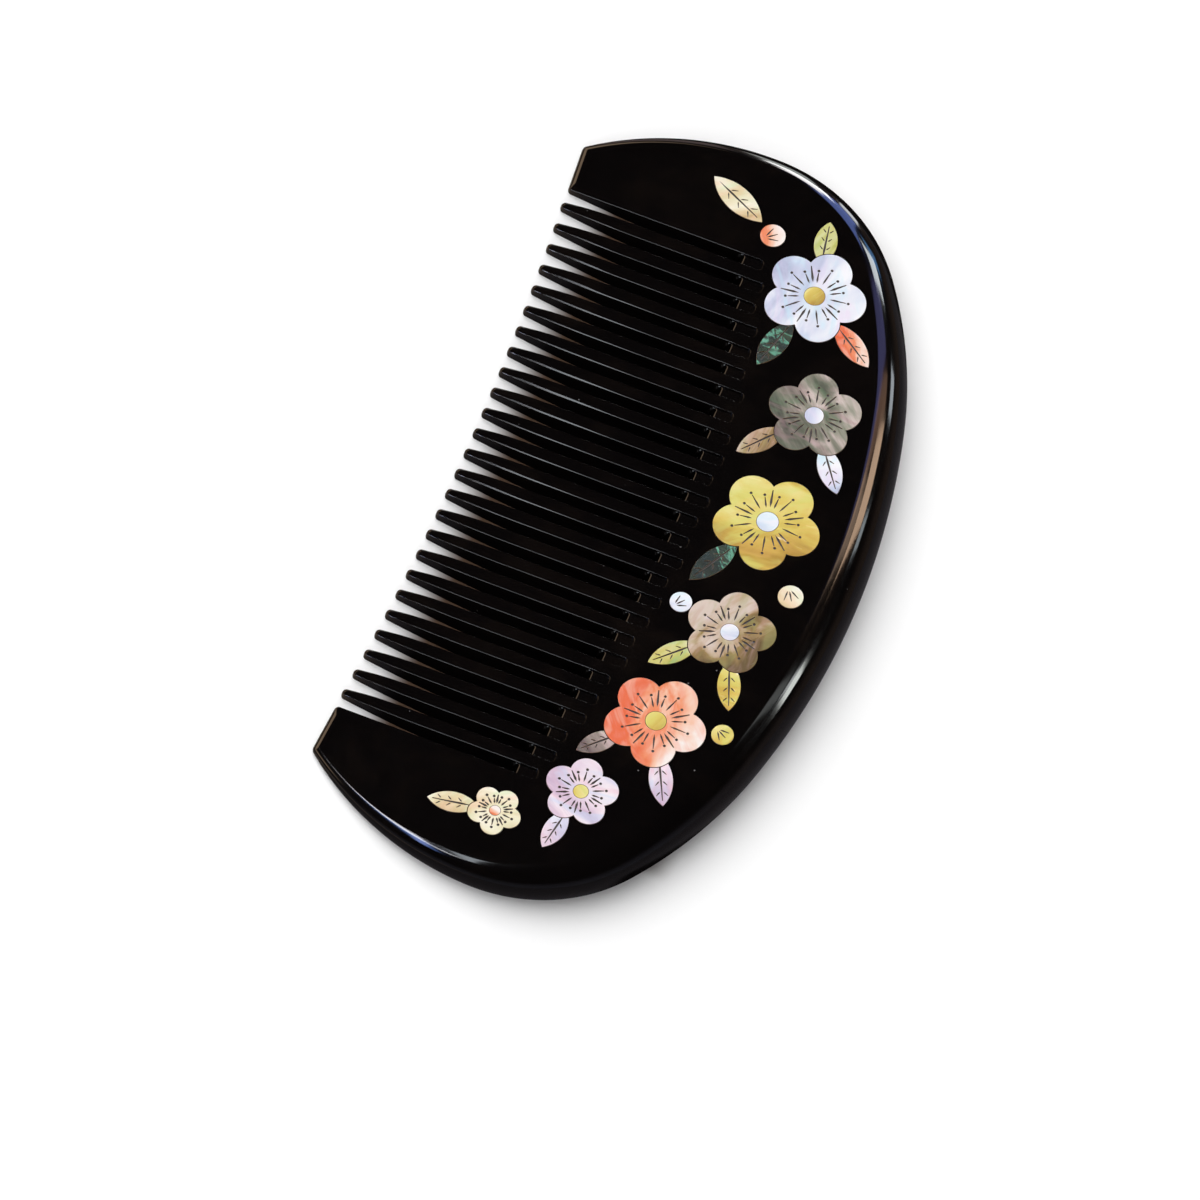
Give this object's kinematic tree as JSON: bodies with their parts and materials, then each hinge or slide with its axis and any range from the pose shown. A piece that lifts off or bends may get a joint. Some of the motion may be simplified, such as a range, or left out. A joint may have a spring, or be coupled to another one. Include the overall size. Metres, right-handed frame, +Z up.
{
  "type": "sandalwood comb",
  "caption": "Half-moon hair comb of black-lacquered wood: fine teeth between two guard teeth, a thick round spine and shell flowers inlaid in one face.",
  "frame": {"origin": "middle of the bounding box, on the flat back that the comb lies on", "axes": "+X along the row of teeth, +Y from the tips of the teeth to the spine, +Z up through the inlaid face"},
  "size_m": [0.1104, 0.0544, 0.0093],
  "materials": {
    "lacquered_wood": "black lacquer polished to a gloss, over sandalwood",
    "shell_white": "polished mother-of-pearl",
    "shell_grey": "polished mother-of-pearl",
    "shell_gold": "polished mother-of-pearl",
    "shell_olive": "polished mother-of-pearl",
    "shell_coral": "polished mother-of-pearl",
    "shell_lilac": "polished mother-of-pearl",
    "shell_cream": "polished mother-of-pearl",
    "shell_green": "polished mother-of-pearl",
    "shell_abalone": "polished mother-of-pearl"
  },
  "bodies": {
    "root": {"comb": "lacquered_wood", "blossom_white": "shell_white", "blossom_grey": "shell_grey", "blossom_gold": "shell_gold", "blossom_olive": "shell_olive", "blossom_coral": "shell_coral", "blossom_lilac": "shell_lilac", "blossom_cream": "shell_cream", "heart_white": "shell_gold", "heart_grey": "shell_white", "heart_gold": "shell_white", "heart_olive": "shell_white", "heart_coral": "shell_gold", "heart_lilac": "shell_gold", "heart_cream": "shell_coral", "leaf_lemon": "shell_cream", "leaf_spring": "shell_green", "leaf_salmon": "shell_coral", "leaf_abalone": "shell_abalone", "leaf_sky": "shell_white", "leaf_moss": "shell_olive", "leaf_jade": "shell_abalone", "leaf_honey": "shell_gold", "leaf_lime": "shell_green", "leaf_blush": "shell_lilac", "leaf_smoke": "shell_grey", "leaf_rose": "shell_lilac", "leaf_pale": "shell_cream", "bud_apricot": "shell_coral", "bud_cream": "shell_cream", "bud_blue": "shell_white", "bud_yellow": "shell_gold"}
  },
  "joints": []
}
